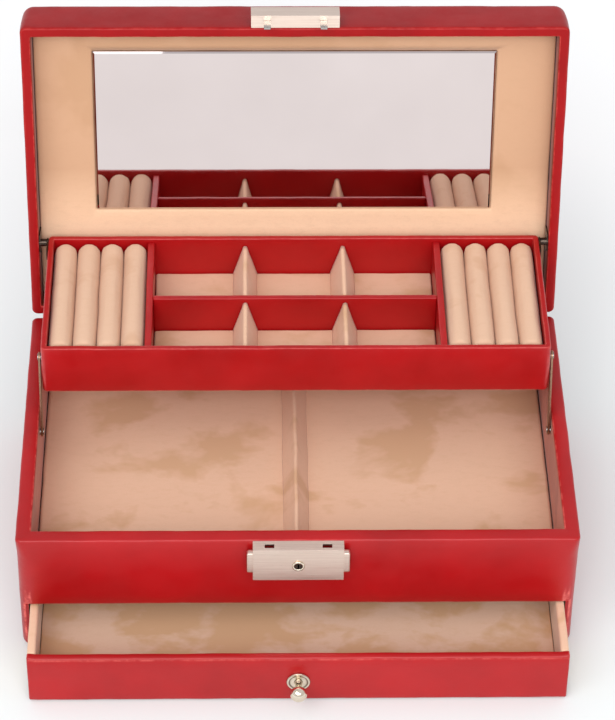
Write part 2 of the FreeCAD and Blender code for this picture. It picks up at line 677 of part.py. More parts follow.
def make_rear_pivots():
    """Ear plates on the tray turn on pins that stand on the inner sides of the lid."""
    ears = []
    brackets = []
    ear_out = f"({TRAY_X} + dims.ear_thick)"
    plate_y = (f"{REAR_Y} - dims.ear_long", REAR_Y)
    plate_z = (f"{REAR_Z} - dims.ear_low", f"{REAR_Z} + dims.ear_high")
    flange_y = (f"{REAR_Y} - dims.bracket_half", f"{REAR_Y} + dims.bracket_half")
    flange_z = (f"{LID_RIM} + dims.bracket_foot", f"{LID_RIM} + dims.bracket_tall")
    for side, sign in (("left", -1), ("right", 1)):
        flat = sides(TRAY_X, ear_out, sign)
        plate = block(f"ear_plate_{side}", flat, plate_y, plate_z)
        lobe = rod(f"ear_lobe_{side}", "dims.ear_lobe", flat, REAR_Y, f"{REAR_Z} - dims.ear_drop")
        through = sides(f"{TRAY_X} - {PAST}", f"{ear_out} + {PAST}", sign)
        hole = rod(f"ear_hole_{side}", "dims.stud_radius + dims.clearance", through, REAR_Y, REAR_Z)
        ears.append(cut(f"ear_{side}", fuse(f"ear_solid_{side}", [plate, lobe]), hole))
        flange_x = sides(f"{LID_HOLLOW_X} - dims.ear_thick", LID_HOLLOW_X, sign)
        flange = block(f"bracket_plate_{side}", flange_x, flange_y, flange_z)
        pin_x = sides(f"{TRAY_X} + dims.stud_gap", LID_HOLLOW_X, sign)
        pin = rod(f"bracket_pin_{side}", "dims.stud_radius", pin_x, REAR_Y, REAR_Z)
        collar_x = sides(f"{ear_out} + dims.stud_gap", LID_HOLLOW_X, sign)
        collar = rod(f"bracket_collar_{side}", "dims.stud_head", collar_x, REAR_Y, REAR_Z)
        brackets.append(fuse(f"bracket_{side}", [flange, pin, collar]))
    publish(group("ears", ears), "tray_ears", AT_TRAY)
    publish(group("brackets", brackets), "lid_brackets", AT_LID)


# ---------------------------------------------------------------- lock

LOCK_X = "(dims.lock_width / 2)"
LOCK_TOP = "(dims.base_height - dims.lock_top_gap)"
LOCK_FOOT = f"({LOCK_TOP} - dims.lock_tall)"
LOCK_FACE = f"(-{HALF_Y} - dims.lock_out)"
LOCK_BACK = f"(-{HALF_Y})"
LOCK_IN = f"({LOCK_FACE} + dims.lock_sheet)"
CLAW_Y = f"({LOCK_FACE} + dims.claw_back)"
KEY_Z = f"({LOCK_TOP} - dims.key_drop)"
TAB_TOP = f"({LOCK_TOP} - dims.tab_drop)"
TAB_FOOT = f"({TAB_TOP} - dims.tab_tall)"
TAB_Y = (f"{LOCK_FACE} + dims.tab_front", f"{LOCK_BACK} - dims.tab_behind")


def around(middle, half):
    return (f"{middle} - {half}", f"{middle} + {half}")


def make_lock():
    """A folded sheet box on the front, open behind, with slots, windows and a keyhole."""
    inner_top = f"{LOCK_TOP} - dims.lock_sheet"
    outer = block("lock_outer", spread(LOCK_X), (LOCK_FACE, LOCK_BACK), (LOCK_FOOT, LOCK_TOP))
    room = block("lock_room", spread(f"({LOCK_X} - dims.lock_sheet)"), (LOCK_IN, f"{LOCK_BACK} + {PAST}"),
                 (f"{LOCK_FOOT} + dims.lock_sheet", inner_top))
    tools = [room]
    slot_y = around(CLAW_Y, "dims.lock_slot_deep / 2")
    slot_z = (f"{inner_top} - {PAST}", f"{LOCK_TOP} + {PAST}")
    window_y = (f"{TAB_Y[0]} - {PLAY}", f"{TAB_Y[1]} + {PLAY}")
    window_z = (f"{TAB_FOOT} - {PLAY}", f"{TAB_TOP} + {PLAY}")
    for sign in (-1, 1):
        slot_x = around(f"({sign} * dims.claw_spread)", "dims.lock_slot / 2")
        tools.append(block("lock_slot", slot_x, slot_y, slot_z))
        window_x = sides(f"{LOCK_X} - dims.lock_window", f"{LOCK_X} + {PAST}", sign)
        tools.append(block("lock_window", window_x, window_y, window_z))
    bore_y = (f"{LOCK_FACE} - dims.key_ring_out - {PAST}", LOCK_IN)
    tools.append(rod("lock_keyway", f"dims.key_rotor + {PLAY}", "0", bore_y, KEY_Z, "Y"))
    publish(cut_all("lock_box", outer, tools), "lock_case", AT_BASE)


def make_key_parts():
    """The raised ring round the keyhole and the rotor that the key turns."""
    bore_y = (f"{LOCK_FACE} - dims.key_ring_out - {PAST}", LOCK_IN)
    ring_y = (f"{LOCK_FACE} - dims.key_ring_out", LOCK_FACE)
    ring = rod("ring_outer", "dims.key_ring", "0", ring_y, KEY_Z, "Y")
    bore = rod("ring_bore", f"dims.key_rotor + {PLAY}", "0", bore_y, KEY_Z, "Y")
    publish(cut("ring", ring, bore), "key_escutcheon", AT_BASE)
    rotor_y = (f"{LOCK_FACE} - dims.key_rotor_out", f"{LOCK_BACK} - dims.key_rotor_back")
    rotor = rod("rotor_solid", "dims.key_rotor", "0", rotor_y, KEY_Z, "Y")
    keyhole = block("keyhole", spread("dims.keyhole_half"), (bore_y[0], f"{LOCK_IN} + dims.keyhole_deep"),
                    around(KEY_Z, "dims.keyhole_tall"))
    publish(cut("rotor", rotor, keyhole), "key_rotor", AT_BASE)


def make_release_tabs():
    """A press tab at each end of the lock, with a catch that reaches under its claw."""
    catch_z = (f"{TAB_FOOT} + dims.catch_foot", f"{LOCK_TOP} - dims.claw_long - dims.catch_gap")
    for side, sign in (("left", -1), ("right", 1)):
        wing_x = sides("dims.claw_spread + dims.wing_in", f"{LOCK_X} + dims.tab_out", sign)
        catch_x = sides("dims.claw_spread - dims.catch_in", "dims.claw_spread + dims.catch_out", sign)
        wing = block(f"tab_wing_{side}", wing_x, TAB_Y, (TAB_FOOT, TAB_TOP))
        catch = block(f"tab_catch_{side}", catch_x, TAB_Y, catch_z)
        name = f"release_tab_{side}"
        publish(fuse(f"{name}_solid", [wing, catch]), name, AT_BASE)


def make_hasp():
    """The folded plate on the lid front, and the two claws that drop into the lock."""
    foot = f"({LID_FOOT} + dims.rim_gap / 2)"
    outer = block("hasp_outer", spread(LOCK_X), (LOCK_FACE, LOCK_BACK), (foot, f"{foot} + dims.hasp_tall"))
    room = block("hasp_room", spread(f"({LOCK_X} + {PAST})"), (LOCK_IN, f"{LOCK_BACK} + {PAST}"),
                 (f"{foot} + dims.lock_sheet", f"{foot} + dims.hasp_tall - dims.lock_sheet"))
    publish(cut("hasp_folded", outer, room), "hasp_plate", AT_LID)
    claws = []
    for sign in (-1, 1):
        middle = f"({sign} * dims.claw_spread)"
        claws.append(block("claw_shank", around(middle, "dims.claw_half"), around(CLAW_Y, "dims.claw_thick"),
                           (f"{LOCK_TOP} - dims.claw_long", foot)))
    publish(group("claws", claws), "hasp_claws", AT_LID)


def check_document():
    """Stop with the name of anything that failed to build."""
    doc.recompute()
    for item in doc.Objects:
        if "Invalid" in item.State or "Error" in item.State:
            raise RuntimeError(f"{item.Label} did not build: {item.State}")
    for item in pieces:
        if item.Shape.isNull() or not item.Shape.isValid() or not item.Shape.Solids:
            raise RuntimeError(f"{item.Label} is not a sound solid")


def write_parts():
    os.makedirs("parts", exist_ok=True)
    for item in pieces:
        item.Shape.exportStep(os.path.join("parts", f"{item.Label}.step"))


make_base_box()
make_compartment()
make_base_leather()
make_drawer()
make_knob()
make_lid()
make_lid_leather()
make_mirror()
make_hinge()
make_tray_box()
make_tray_linings()
make_ring_rolls()
for arm_side, arm_sign in (("left", -1), ("right", 1)):
    make_arm(arm_side, arm_sign)
make_studs()
make_rear_pivots()
make_lock()
make_key_parts()
make_release_tabs()
make_hasp()
check_document()
write_parts()
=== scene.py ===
import json
import math

import bpy
from mathutils import Matrix, Vector, noise

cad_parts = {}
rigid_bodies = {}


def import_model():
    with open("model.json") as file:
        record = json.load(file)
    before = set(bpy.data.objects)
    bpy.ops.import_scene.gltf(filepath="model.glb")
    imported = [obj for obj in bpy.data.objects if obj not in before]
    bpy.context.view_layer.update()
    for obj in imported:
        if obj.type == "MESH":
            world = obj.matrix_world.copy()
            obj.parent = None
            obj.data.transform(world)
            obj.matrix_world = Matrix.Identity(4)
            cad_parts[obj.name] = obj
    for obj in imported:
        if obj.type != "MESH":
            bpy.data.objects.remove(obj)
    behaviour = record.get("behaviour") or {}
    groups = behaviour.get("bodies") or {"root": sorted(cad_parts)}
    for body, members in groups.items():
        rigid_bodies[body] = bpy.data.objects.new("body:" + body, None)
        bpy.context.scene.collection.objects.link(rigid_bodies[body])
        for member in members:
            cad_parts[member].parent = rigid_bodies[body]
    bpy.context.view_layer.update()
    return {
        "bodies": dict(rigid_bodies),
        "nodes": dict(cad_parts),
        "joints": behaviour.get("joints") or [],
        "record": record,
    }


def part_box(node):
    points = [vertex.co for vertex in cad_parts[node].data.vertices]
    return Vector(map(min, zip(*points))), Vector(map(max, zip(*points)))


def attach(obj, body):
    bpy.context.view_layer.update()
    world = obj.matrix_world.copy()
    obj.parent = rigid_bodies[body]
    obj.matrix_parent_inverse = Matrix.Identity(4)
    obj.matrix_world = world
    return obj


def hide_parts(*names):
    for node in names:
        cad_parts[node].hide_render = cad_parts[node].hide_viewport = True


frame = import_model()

# The looks of a red leather jewellery case. Sizes in this file are millimetres,
# turned into metres as each mesh is made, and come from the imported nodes.
# Lid pieces are drawn with the lid shut and then turned to the rest pose.

MM = 0.001


# ---------------------------------------------------------------- frame helpers

def node_box(node):
    """Lowest and highest corners of a node at rest, in millimetres."""
    low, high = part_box(node)
    return low / MM, high / MM


def lid_turn():
    """The movement that takes the shut lid to the rest pose."""
    hinge = next(joint for joint in frame["joints"] if joint["name"] == "lid_hinge")
    pivot = Vector(hinge["pos_m"]) / MM
    turn = Matrix.Rotation(-math.radians(hinge["range_deg"][1]), 4, Vector(hinge["axis"]))
    return Matrix.Translation(pivot) @ turn @ Matrix.Translation(-pivot)


LID_REST = lid_turn()
LID_SHUT = LID_REST.inverted()
STAY = Matrix.Identity(4)


def shut_box(node):
    """Lowest and highest corners of a lid node with the lid shut, in millimetres."""
    points = [LID_SHUT @ (corner.co / MM) for corner in frame["nodes"][node].data.vertices]
    low = Vector([min(point[axis] for point in points) for axis in range(3)])
    high = Vector([max(point[axis] for point in points) for axis in range(3)])
    return low, high


# ---------------------------------------------------------------- materials

def linear(red, green, blue):
    """Screen colour, 0 to 255, as the linear colour that a shader takes."""
    parts = [value / 255 for value in (red, green, blue)]
    return [p / 12.92 if p <= 0.04045 else ((p + 0.055) / 1.055) ** 2.4 for p in parts] + [1.0]


class Paint:
    """A material whose Principled shader is driven by noise in object space."""

    def __init__(self, name, **sockets):
        self.material = bpy.data.materials.new(name)
        self.material.use_nodes = True
        self.tree = self.material.node_tree
        self.shader = self.tree.nodes["Principled BSDF"]
        for socket, value in sockets.items():
            self.shader.inputs[socket.replace("_", " ")].default_value = value
        self.place = self.node("ShaderNodeTexCoord").outputs["Object"]

    def node(self, kind, **values):
        made = self.tree.nodes.new(kind)
        for key, value in values.items():
            if key in made.inputs:
                made.inputs[key].default_value = value
            else:
                setattr(made, key, value)
        return made

    def link(self, start, end):
        self.tree.links.new(start, end)

    def stretched(self, scale):
        """Object coordinates in metres times a scale for each axis."""
        mapping = self.node("ShaderNodeMapping")
        mapping.inputs["Scale"].default_value = scale
        self.link(self.place, mapping.inputs["Vector"])
        return mapping.outputs["Vector"]

    def noise(self, scale, detail=3.0, rough=0.5, warp=0.0):
        made = self.node("ShaderNodeTexNoise", Scale=1.0, Detail=detail, Roughness=rough, Distortion=warp)
        wide = scale if isinstance(scale, tuple) else (scale,) * 3
        self.link(self.stretched(wide), made.inputs["Vector"])
        return made.outputs["Fac"]

    def cells(self, scale):
        made = self.node("ShaderNodeTexVoronoi", Scale=1.0, feature="DISTANCE_TO_EDGE")
        self.link(self.stretched((scale,) * 3), made.inputs["Vector"])
        return made.outputs["Distance"]

    def ramp(self, factor, stops):
        made = self.node("ShaderNodeValToRGB")
        band = made.color_ramp.elements
        while len(band) < len(stops):
            band.new(0.5)
        for element, (at, colour) in zip(band, stops):
            element.position = at
            element.color = colour
        self.link(factor, made.inputs["Fac"])
        return made.outputs["Color"]

    def blend(self, factor, first, second):
        made = self.node("ShaderNodeMix", data_type="RGBA")
        self.link(factor, made.inputs[0])
        for value, socket in ((first, made.inputs[6]), (second, made.inputs[7])):
            if isinstance(value, list):
                socket.default_value = value
            else:
                self.link(value, socket)
        return made.outputs[2]

    def range(self, factor, low, high, start=0.0, end=1.0):
        made = self.node("ShaderNodeMapRange")
        made.inputs["From Min"].default_value = start
        made.inputs["From Max"].default_value = end
        made.inputs["To Min"].default_value = low
        made.inputs["To Max"].default_value = high
        self.link(factor, made.inputs["Value"])
        return made.outputs["Result"]

    def times(self, first, second):
        made = self.node("ShaderNodeMath", operation="MULTIPLY")
        self.link(first, made.inputs[0])
        self.link(second, made.inputs[1])
        return made.outputs[0]

    def rise(self, low, high):
        """0 below one height in metres, 1 above the other."""
        parts = self.node("ShaderNodeSeparateXYZ")
        self.link(self.place, parts.inputs["Vector"])
        return self.range(parts.outputs["Z"], 0.0, 1.0, low, high)

    def painted_shadow_falloff(self, reach):
        """1 at the middle, falling to 0 at a distance in metres."""
        made = self.node("ShaderNodeTexGradient", gradient_type="SPHERICAL")
        self.link(self.stretched((1 / reach,) * 3), made.inputs["Vector"])
        return made.outputs["Fac"]

    def attribute(self, name):
        return self.node("ShaderNodeAttribute", attribute_name=name).outputs["Fac"]

    def bump(self, height, strength, depth, under=None):
        made = self.node("ShaderNodeBump", Strength=strength, Distance=depth * MM)
        self.link(height, made.inputs["Height"])
        if under is not None:
            self.link(under, made.inputs["Normal"])
        return made.outputs["Normal"]

    def use(self, **sockets):
        for socket, value in sockets.items():
            self.link(value, self.shader.inputs[socket.replace("_", " ")])
        return self.material


def leather(name, deep, bright, edge, shine=0.34):
    """Smooth dyed hide: a fine pebble, soft creases, and a broken pale line painted along its sharp edges as
    a painted highlight.
    """
    paint = Paint(name, Specular_IOR_Level=shine, Coat_Weight=shine * 0.35, Coat_Roughness=0.22)
    tone = paint.ramp(paint.noise(22.0, 4.0, 0.6), [(0.35, deep), (0.68, bright)])
    # painted highlight: the edge colour is mixed in where the surface turns sharply, broken into patches
    painted_highlight_edges = paint.range(paint.attribute("edge"), 0.0, 0.8, 0.6, 1.0)
    patchy = paint.range(paint.noise(210.0, 4.0, 0.7), 0.12, 1.0, 0.4, 0.62)
    pebble = paint.range(paint.cells(1500.0), 0.0, 1.0, 0.0, 0.28)
    creases = paint.noise((120.0, 160.0, 240.0), 5.0, 0.68, 0.5)
    normal = paint.bump(pebble, 0.34, 0.05, paint.bump(creases, 0.5, 0.16))
    gloss = paint.range(paint.noise(70.0, 4.0, 0.6), 0.3, 0.46, 0.3, 0.7)
    colour = paint.blend(paint.times(painted_highlight_edges, patchy), tone, edge)
    return paint.use(Base_Color=colour, Roughness=gloss, Normal=normal)


def suede(name, tan, pink, split=0.48, patch=22.0, grit=0.3, painted_light_foot=None):
    """Napped cloth: tan and pinkish brushed patches over a short, dense pile.

    painted_light_foot is a paler colour that takes over below the heights given with it, as painted light.
    """
    paint = Paint(name, Roughness=0.93, Specular_IOR_Level=0.12, Sheen_Weight=0.18, Sheen_Roughness=0.45)
    patches = paint.noise((patch, patch * 1.3, patch), 4.0, 0.55, 0.2)
    tone = paint.ramp(patches, [(split - 0.06, tan), (split + 0.03, pink)])
    if painted_light_foot:
        colour, low, high = painted_light_foot
        # painted light: the paler colour takes over below the lower height
        painted_light_mask = paint.range(paint.rise(low, high), 1.0, 0.0)
        tone = paint.blend(painted_light_mask, tone, colour)
    strokes = paint.noise((170.0, 420.0, 420.0), 4.0, 0.7, 0.2)
    brushed_tone = paint.blend(paint.range(strokes, 0.0, grit, 0.48, 0.78), tone, tan)
    fibres = paint.noise(1900.0, 2.0, 0.7)
    speckled = paint.blend(paint.range(fibres, 0.0, grit * 0.8, 0.5, 0.75), brushed_tone, tan)
    normal = paint.bump(fibres, 0.4, 0.1, paint.bump(strokes, 0.35, 0.2))
    return paint.use(Base_Color=speckled, Normal=normal)


def brushed(name, dark, light, along, rough=(0.26, 0.42)):
    """Brushed metal: fine parallel scratches, long in the direction named."""
    scale = {"x": (35.0, 2600.0, 2600.0), "y": (2600.0, 35.0, 2600.0), "z": (2600.0, 2600.0, 35.0)}[along]
    paint = Paint(name, Metallic=1.0)
    lines = paint.noise(scale, 4.0, 0.75)
    tone = paint.ramp(lines, [(0.3, dark), (0.7, light)])
    gloss = paint.range(lines, rough[0], rough[1], 0.3, 0.7)
    return paint.use(Base_Color=tone, Roughness=gloss, Normal=paint.bump(lines, 0.22, 0.02))


def polished(name, dark, light, rough=(0.06, 0.14), rim=None):
    """Polished metal with faint smears, and sharp edges painted in the rim colour as a painted dark
    reflection.
    """
    paint = Paint(name, Metallic=1.0)
    smear = paint.noise(420.0, 4.0, 0.6)
    tone = paint.ramp(smear, [(0.3, dark), (0.7, light)])
    if rim:
        # painted reflection: the dark rim colour is mixed in where the surface turns sharply
        tone = paint.blend(paint.range(paint.attribute("edge"), 0.0, 0.85, 0.7, 1.0), tone, rim)
    return paint.use(Base_Color=tone, Roughness=paint.range(smear, rough[0], rough[1], 0.3, 0.7))


def silvered(name):
    """Mirror glass: clear and cool, with a trace of haze."""
    paint = Paint(name, Metallic=1.0)
    haze = paint.noise(18.0, 3.0)
    tone = paint.ramp(haze, [(0.3, linear(206, 195, 193)), (0.7, linear(212, 201, 199))])
    return paint.use(Base_Color=tone, Roughness=paint.range(haze, 0.012, 0.03, 0.3, 0.7))


def matted(name, dark, light, scale, depth):
    """Felt or board: a mottled matt surface with a coarse tooth."""
    paint = Paint(name, Roughness=0.95, Specular_IOR_Level=0.1)
    tooth = paint.noise(scale, 4.0, 0.7)
    tone = paint.ramp(tooth, [(0.3, dark), (0.7, light)])
    return paint.use(Base_Color=tone, Normal=paint.bump(tooth, 0.5, depth))


PAINTS = {
    # The third colour of each leather is its painted highlight along sharp edges.
    "red_leather": leather("red_leather", linear(160, 8, 13), linear(176, 13, 19), linear(234, 112, 102)),
    # lid_leather is the red leather painted darker, as painted shade for the lid's upturned outside, which
    # takes less light
    "lid_leather": leather("lid_leather", linear(146, 7, 10), linear(164, 11, 15), linear(222, 88, 80), 0.16),
    "suede": suede("suede", linear(215, 173, 137), linear(230, 190, 161), 0.45),
    "drawer_suede": suede("drawer_suede", linear(214, 169, 132), linear(228, 189, 164), 0.54, 26.0),
    "wall_suede": suede("wall_suede", linear(174, 92, 62), linear(194, 110, 80)),
    "side_suede": suede("side_suede", linear(128, 58, 40), linear(150, 74, 54)),
    # panel_suede is the suede painted darker as painted shade, with a paler foot below 0.116 to 0.15 m
    # painted as light where the tray shades the panel
    "panel_suede": suede("panel_suede", linear(196, 154, 121), linear(204, 162, 130), 0.5, 16.0, 0.2,
                         (linear(242, 204, 170), 0.116, 0.15)),
    "roll_suede": suede("roll_suede", linear(213, 173, 143), linear(220, 183, 155), 0.42, 30.0, 0.34),
    "brushed_nickel": brushed("brushed_nickel", linear(222, 199, 184), linear(245, 228, 214), "x"),
    "arm_nickel": brushed("arm_nickel", linear(130, 100, 78), linear(182, 152, 128), "z"),
    # polished_nickel's rim colour is a painted dark reflection on its sharp edges
    "polished_nickel": polished("polished_nickel", linear(214, 200, 178), linear(238, 228, 210),
                                rim=linear(84, 60, 48)),
    # painted_shade_steel is steel painted near black as painted shade, for the key rotor in its recess and
    # for the tray's ears and the lid's brackets in the lid's shadow
    "painted_shade_steel": polished("painted_shade_steel", linear(58, 48, 42), linear(86, 74, 66), (0.2, 0.3)),
    "steel": polished("steel", linear(150, 146, 142), linear(186, 182, 178), (0.2, 0.32)),
    "mirror_glass": silvered("mirror_glass"),
    "board": matted("board", linear(122, 98, 74), linear(150, 124, 96), 700.0, 0.1),
    "felt": matted("felt", linear(58, 16, 18), linear(84, 26, 28), 1500.0, 0.15),
}


# ---------------------------------------------------------------- mesh helpers

# Blender starts its noise from the clock, so a fixed seed keeps every run the same.
WAVER_SEED = 1
noise.seed_set(WAVER_SEED)


def unevenness(point, amount, size):
    """A small smooth push, in millimetres, that depends only on the place and the seed."""
    return noise.noise_vector(point / size) * amount


def mark_edges(mesh):
    """Store how sharply the surface turns at each corner, from 0, flat, to 1."""
    turn = [0.0] * len(mesh.vertices)
    seen = {}
    for face in mesh.polygons:
        for key in face.edge_keys:
            if key in seen:
                angle = face.normal.angle(seen[key], 0.0) / math.radians(26)
                for corner in key:
                    turn[corner] = max(turn[corner], min(1.0, angle))
            else:
                seen[key] = face.normal
    layer = mesh.attributes.new("edge", "FLOAT", "POINT")
    layer.data.foreach_set("value", turn)


def build(name, points, faces, body, slot, replaced=(), placed=STAY, waver=0.0, paint=None):
    """A mesh piece from points in millimetres, dressed and fixed to its body."""
    mesh = bpy.data.meshes.new(name)
    moved = []
    for point in points:
        spot = Vector(point)
        if waver:
            spot += unevenness(spot, waver, 14.0) + unevenness(spot, waver * 0.4, 4.5)
        moved.append((placed @ spot) * MM)
    mesh.from_pydata(moved, [], faces)
    mesh.update()
    mesh.polygons.foreach_set("use_smooth", [True] * len(mesh.polygons))
    mark_edges(mesh)
    piece = bpy.data.objects.new(name, mesh)
    bpy.context.scene.collection.objects.link(piece)
    mesh.materials.append(PAINTS[paint or slot])
    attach(piece, body)
    if replaced:
        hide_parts(*replaced)
    return piece


def stops(low, high, radius, step):
    """Places along one side of a rounded box: close round its edges, then even."""
    near = [radius * (1 - math.tan(math.radians(angle))) for angle in (45, 30, 15, 0)]
    inner_low, inner_high = low + radius, high - radius
    count = max(1, round((inner_high - inner_low) / step))
    middle = [inner_low + (inner_high - inner_low) * i / count for i in range(1, count)]
    return [low + gap for gap in near] + middle + [high - gap for gap in reversed(near)]


def soft_box(low, high, radius, step, shape=None):
    """Points and faces of a closed box with rounded edges and a reshaping function."""
    low, high = Vector(low), Vector(high)
    reach = min(radius, min(high - low) * 0.49)
    axes = [stops(low[i], high[i], reach, step) for i in range(3)]
    points = []
    faces = []
    known = {}

    def corner(spot):
        key = tuple(round(value, 4) for value in spot)
        if key not in known:
            known[key] = len(points)
            spot = Vector(spot)
            core = Vector([min(max(spot[i], low[i] + reach), high[i] - reach) for i in range(3)])
            away = spot - core
            if away.length > 1e-6:
                spot = core + away.normalized() * reach
            points.append(shape(spot) if shape else spot)
        return known[key]

    for axis in range(3):
        across, along = [(1, 2), (2, 0), (0, 1)][axis]
        for level, outward in ((axes[axis][0], False), (axes[axis][-1], True)):
            for a0, a1 in zip(axes[across], axes[across][1:]):
                for b0, b1 in zip(axes[along], axes[along][1:]):
                    loop = []
                    for a, b in ((a0, b0), (a1, b0), (a1, b1), (a0, b1)):
                        spot = [0.0, 0.0, 0.0]
                        spot[axis], spot[across], spot[along] = level, a, b
                        loop.append(corner(spot))
                    faces.append(loop if outward else loop[::-1])
    return points, faces


def outline(middle, half, radius, counts):
    """Points anticlockwise round a rectangle with rounded corners, always as many."""
    points = []
    across, along, bend = counts
    inner = (half[0] - radius, half[1] - radius)
    sides = [((1, -1), (1, 1), along), ((1, 1), (-1, 1), across),
             ((-1, 1), (-1, -1), along), ((-1, -1), (1, -1), across)]
    for number, (start, end, count) in enumerate(sides):
        first = math.radians(90 * number - 90)
        for step in range(bend):
            angle = first + math.radians(90) * step / bend
            points.append((middle[0] + start[0] * inner[0] + radius * math.cos(angle),
                           middle[1] + start[1] * inner[1] + radius * math.sin(angle)))
        angle = first + math.radians(90)
        away = (radius * math.cos(angle), radius * math.sin(angle))
        for step in range(count):
            part = step / count
            points.append(tuple(middle[i] + (start[i] + (end[i] - start[i]) * part) * inner[i] + away[i]
                                for i in range(2)))
    return points


def loft(rings, cap_first=False, cap_last=False, keep=None):
    """Join rings of points into a skin; keep says which faces stay."""
    points = [point for ring in rings for point in ring]
    size = len(rings[0])
    faces = []
    for row in range(len(rings) - 1):
        for column in range(size):
            beside = (column + 1) % size
            face = [row * size + column, row * size + beside,
                    (row + 1) * size + beside, (row + 1) * size + column]
            if keep is None or keep(sum((Vector(points[i]) for i in face), Vector()) / 4):
                faces.append(face)
    if cap_first:
        faces.append(list(range(size))[::-1])
    if cap_last:
        faces.append([(len(rings) - 1) * size + i for i in range(size)])
    return points, faces


def arc(centre, radius, start, end, count):
    """Points (inset, height) along an arc, its angles in degrees."""
    turns = [math.radians(start + (end - start) * i / count) for i in range(count + 1)]
    return [(centre[0] + radius * math.cos(turn), centre[1] + radius * math.sin(turn)) for turn in turns]


def levels(low, high, count):
    return [low + (high - low) * i / count for i in range(count + 1)]


def thicken(piece, thickness):
    """Give a skin its thickness inwards, as a closed shell."""
    shell = piece.modifiers.new("shell", "SOLIDIFY")
    shell.thickness = thickness * MM
    shell.offset = -1.0
    shell.use_even_offset = True


def settled(piece):
    """Swap a piece's mesh for what its modifiers make of it, and drop the modifiers."""
    graph = bpy.context.evaluated_depsgraph_get()
    fresh = bpy.data.meshes.new_from_object(piece.evaluated_get(graph))
    piece.modifiers.clear()
    piece.data = fresh


def inflate(pieces, voxel=1.8, pressure=4.0, mass=0.02, cap=0.35, steps=12):
    """Fill soft pieces: a cloth run under pressure, with each point held within cap mm of its start."""
    scene = bpy.context.scene
    starts = []
    for piece in pieces:
        grain = piece.modifiers.new("grain", "REMESH")
        grain.mode = "VOXEL"
        grain.voxel_size = voxel * MM
        settled(piece)
        starts.append([vertex.co.copy() for vertex in piece.data.vertices])
        cloth = piece.modifiers.new("cloth", "CLOTH")
        cloth.settings.quality = 5
        cloth.settings.mass = mass
        cloth.settings.use_pressure = True
        cloth.settings.uniform_pressure_force = pressure
        cloth.settings.effector_weights.gravity = 0.0
        cloth.collision_settings.use_collision = False
        cloth.point_cache.frame_start = 1
        cloth.point_cache.frame_end = steps
    for frame in range(1, steps + 1):
        scene.frame_set(frame)
    for piece, start in zip(pieces, starts):
        settled(piece)
        for vertex, origin in zip(piece.data.vertices, start):
            move = vertex.co - origin
            far = move.length / MM
            if far > cap:
                vertex.co = origin + move * (cap / far)
        piece.data.polygons.foreach_set("use_smooth", [True] * len(piece.data.polygons))
        rounder = piece.modifiers.new("rounder", "SUBSURF")
        rounder.levels = rounder.render_levels = 1
    scene.frame_set(1)


def soften(node, width, paint):
    """Break the edges of a CAD metal piece and give it its finish."""
    piece = frame["nodes"][node]
    weld = piece.modifiers.new("weld", "WELD")
    weld.merge_threshold = 0.00001
    bevel = piece.modifiers.new("edges", "BEVEL")
    bevel.width = width * MM
    bevel.segments = 2
    bevel.limit_method = "ANGLE"
    bevel.angle_limit = math.radians(35)
    piece.modifiers.new("shading", "WEIGHTED_NORMAL").weight = 100
    dress(node, paint)
    piece.data.polygons.foreach_set("use_smooth", [True] * len(piece.data.polygons))


def dress(node, paint):
    """Give a CAD piece its finish and leave its shape alone."""
    slots = frame["nodes"][node].data.materials
    slots.clear()
    slots.append(PAINTS[paint])


# ---------------------------------------------------------------- base

HIDE = 1.6
CORNER = 6.8
RIM_CORNER = 3.0
SLOT_CORNER = 3.0


def corner_at(gap, inset, reach):
    """Corner radius of a wall at a distance below its rim, on a line set in from its face."""
    part = min(1.0, gap / reach)
    full = RIM_CORNER + (CORNER - RIM_CORNER) * part * part * (3 - 2 * part)
    return max(full - inset, 0.6)


def rim_profile(outer_foot, top, width, lip, roll):
    """Outside of a wall from its foot up, over the rim and down to the lining."""
    path = arc((roll, outer_foot + roll), roll, 270, 180, 4)
    path += [(0.0, z) for z in levels(outer_foot + roll, top - roll, 14)[1:-1]]
    path += arc((roll, top - roll), roll, 180, 90, 6)
    path += [(inset, top + 0.12 * math.sin(math.pi * (inset - roll) / (width - 2 * roll)))
             for inset in levels(roll, width - 1.0, 4)[1:-1]]
    path += arc((width - 1.0, top - 1.0), 1.0, 90, 0, 4)
    path.append((width, top - lip))
    return path


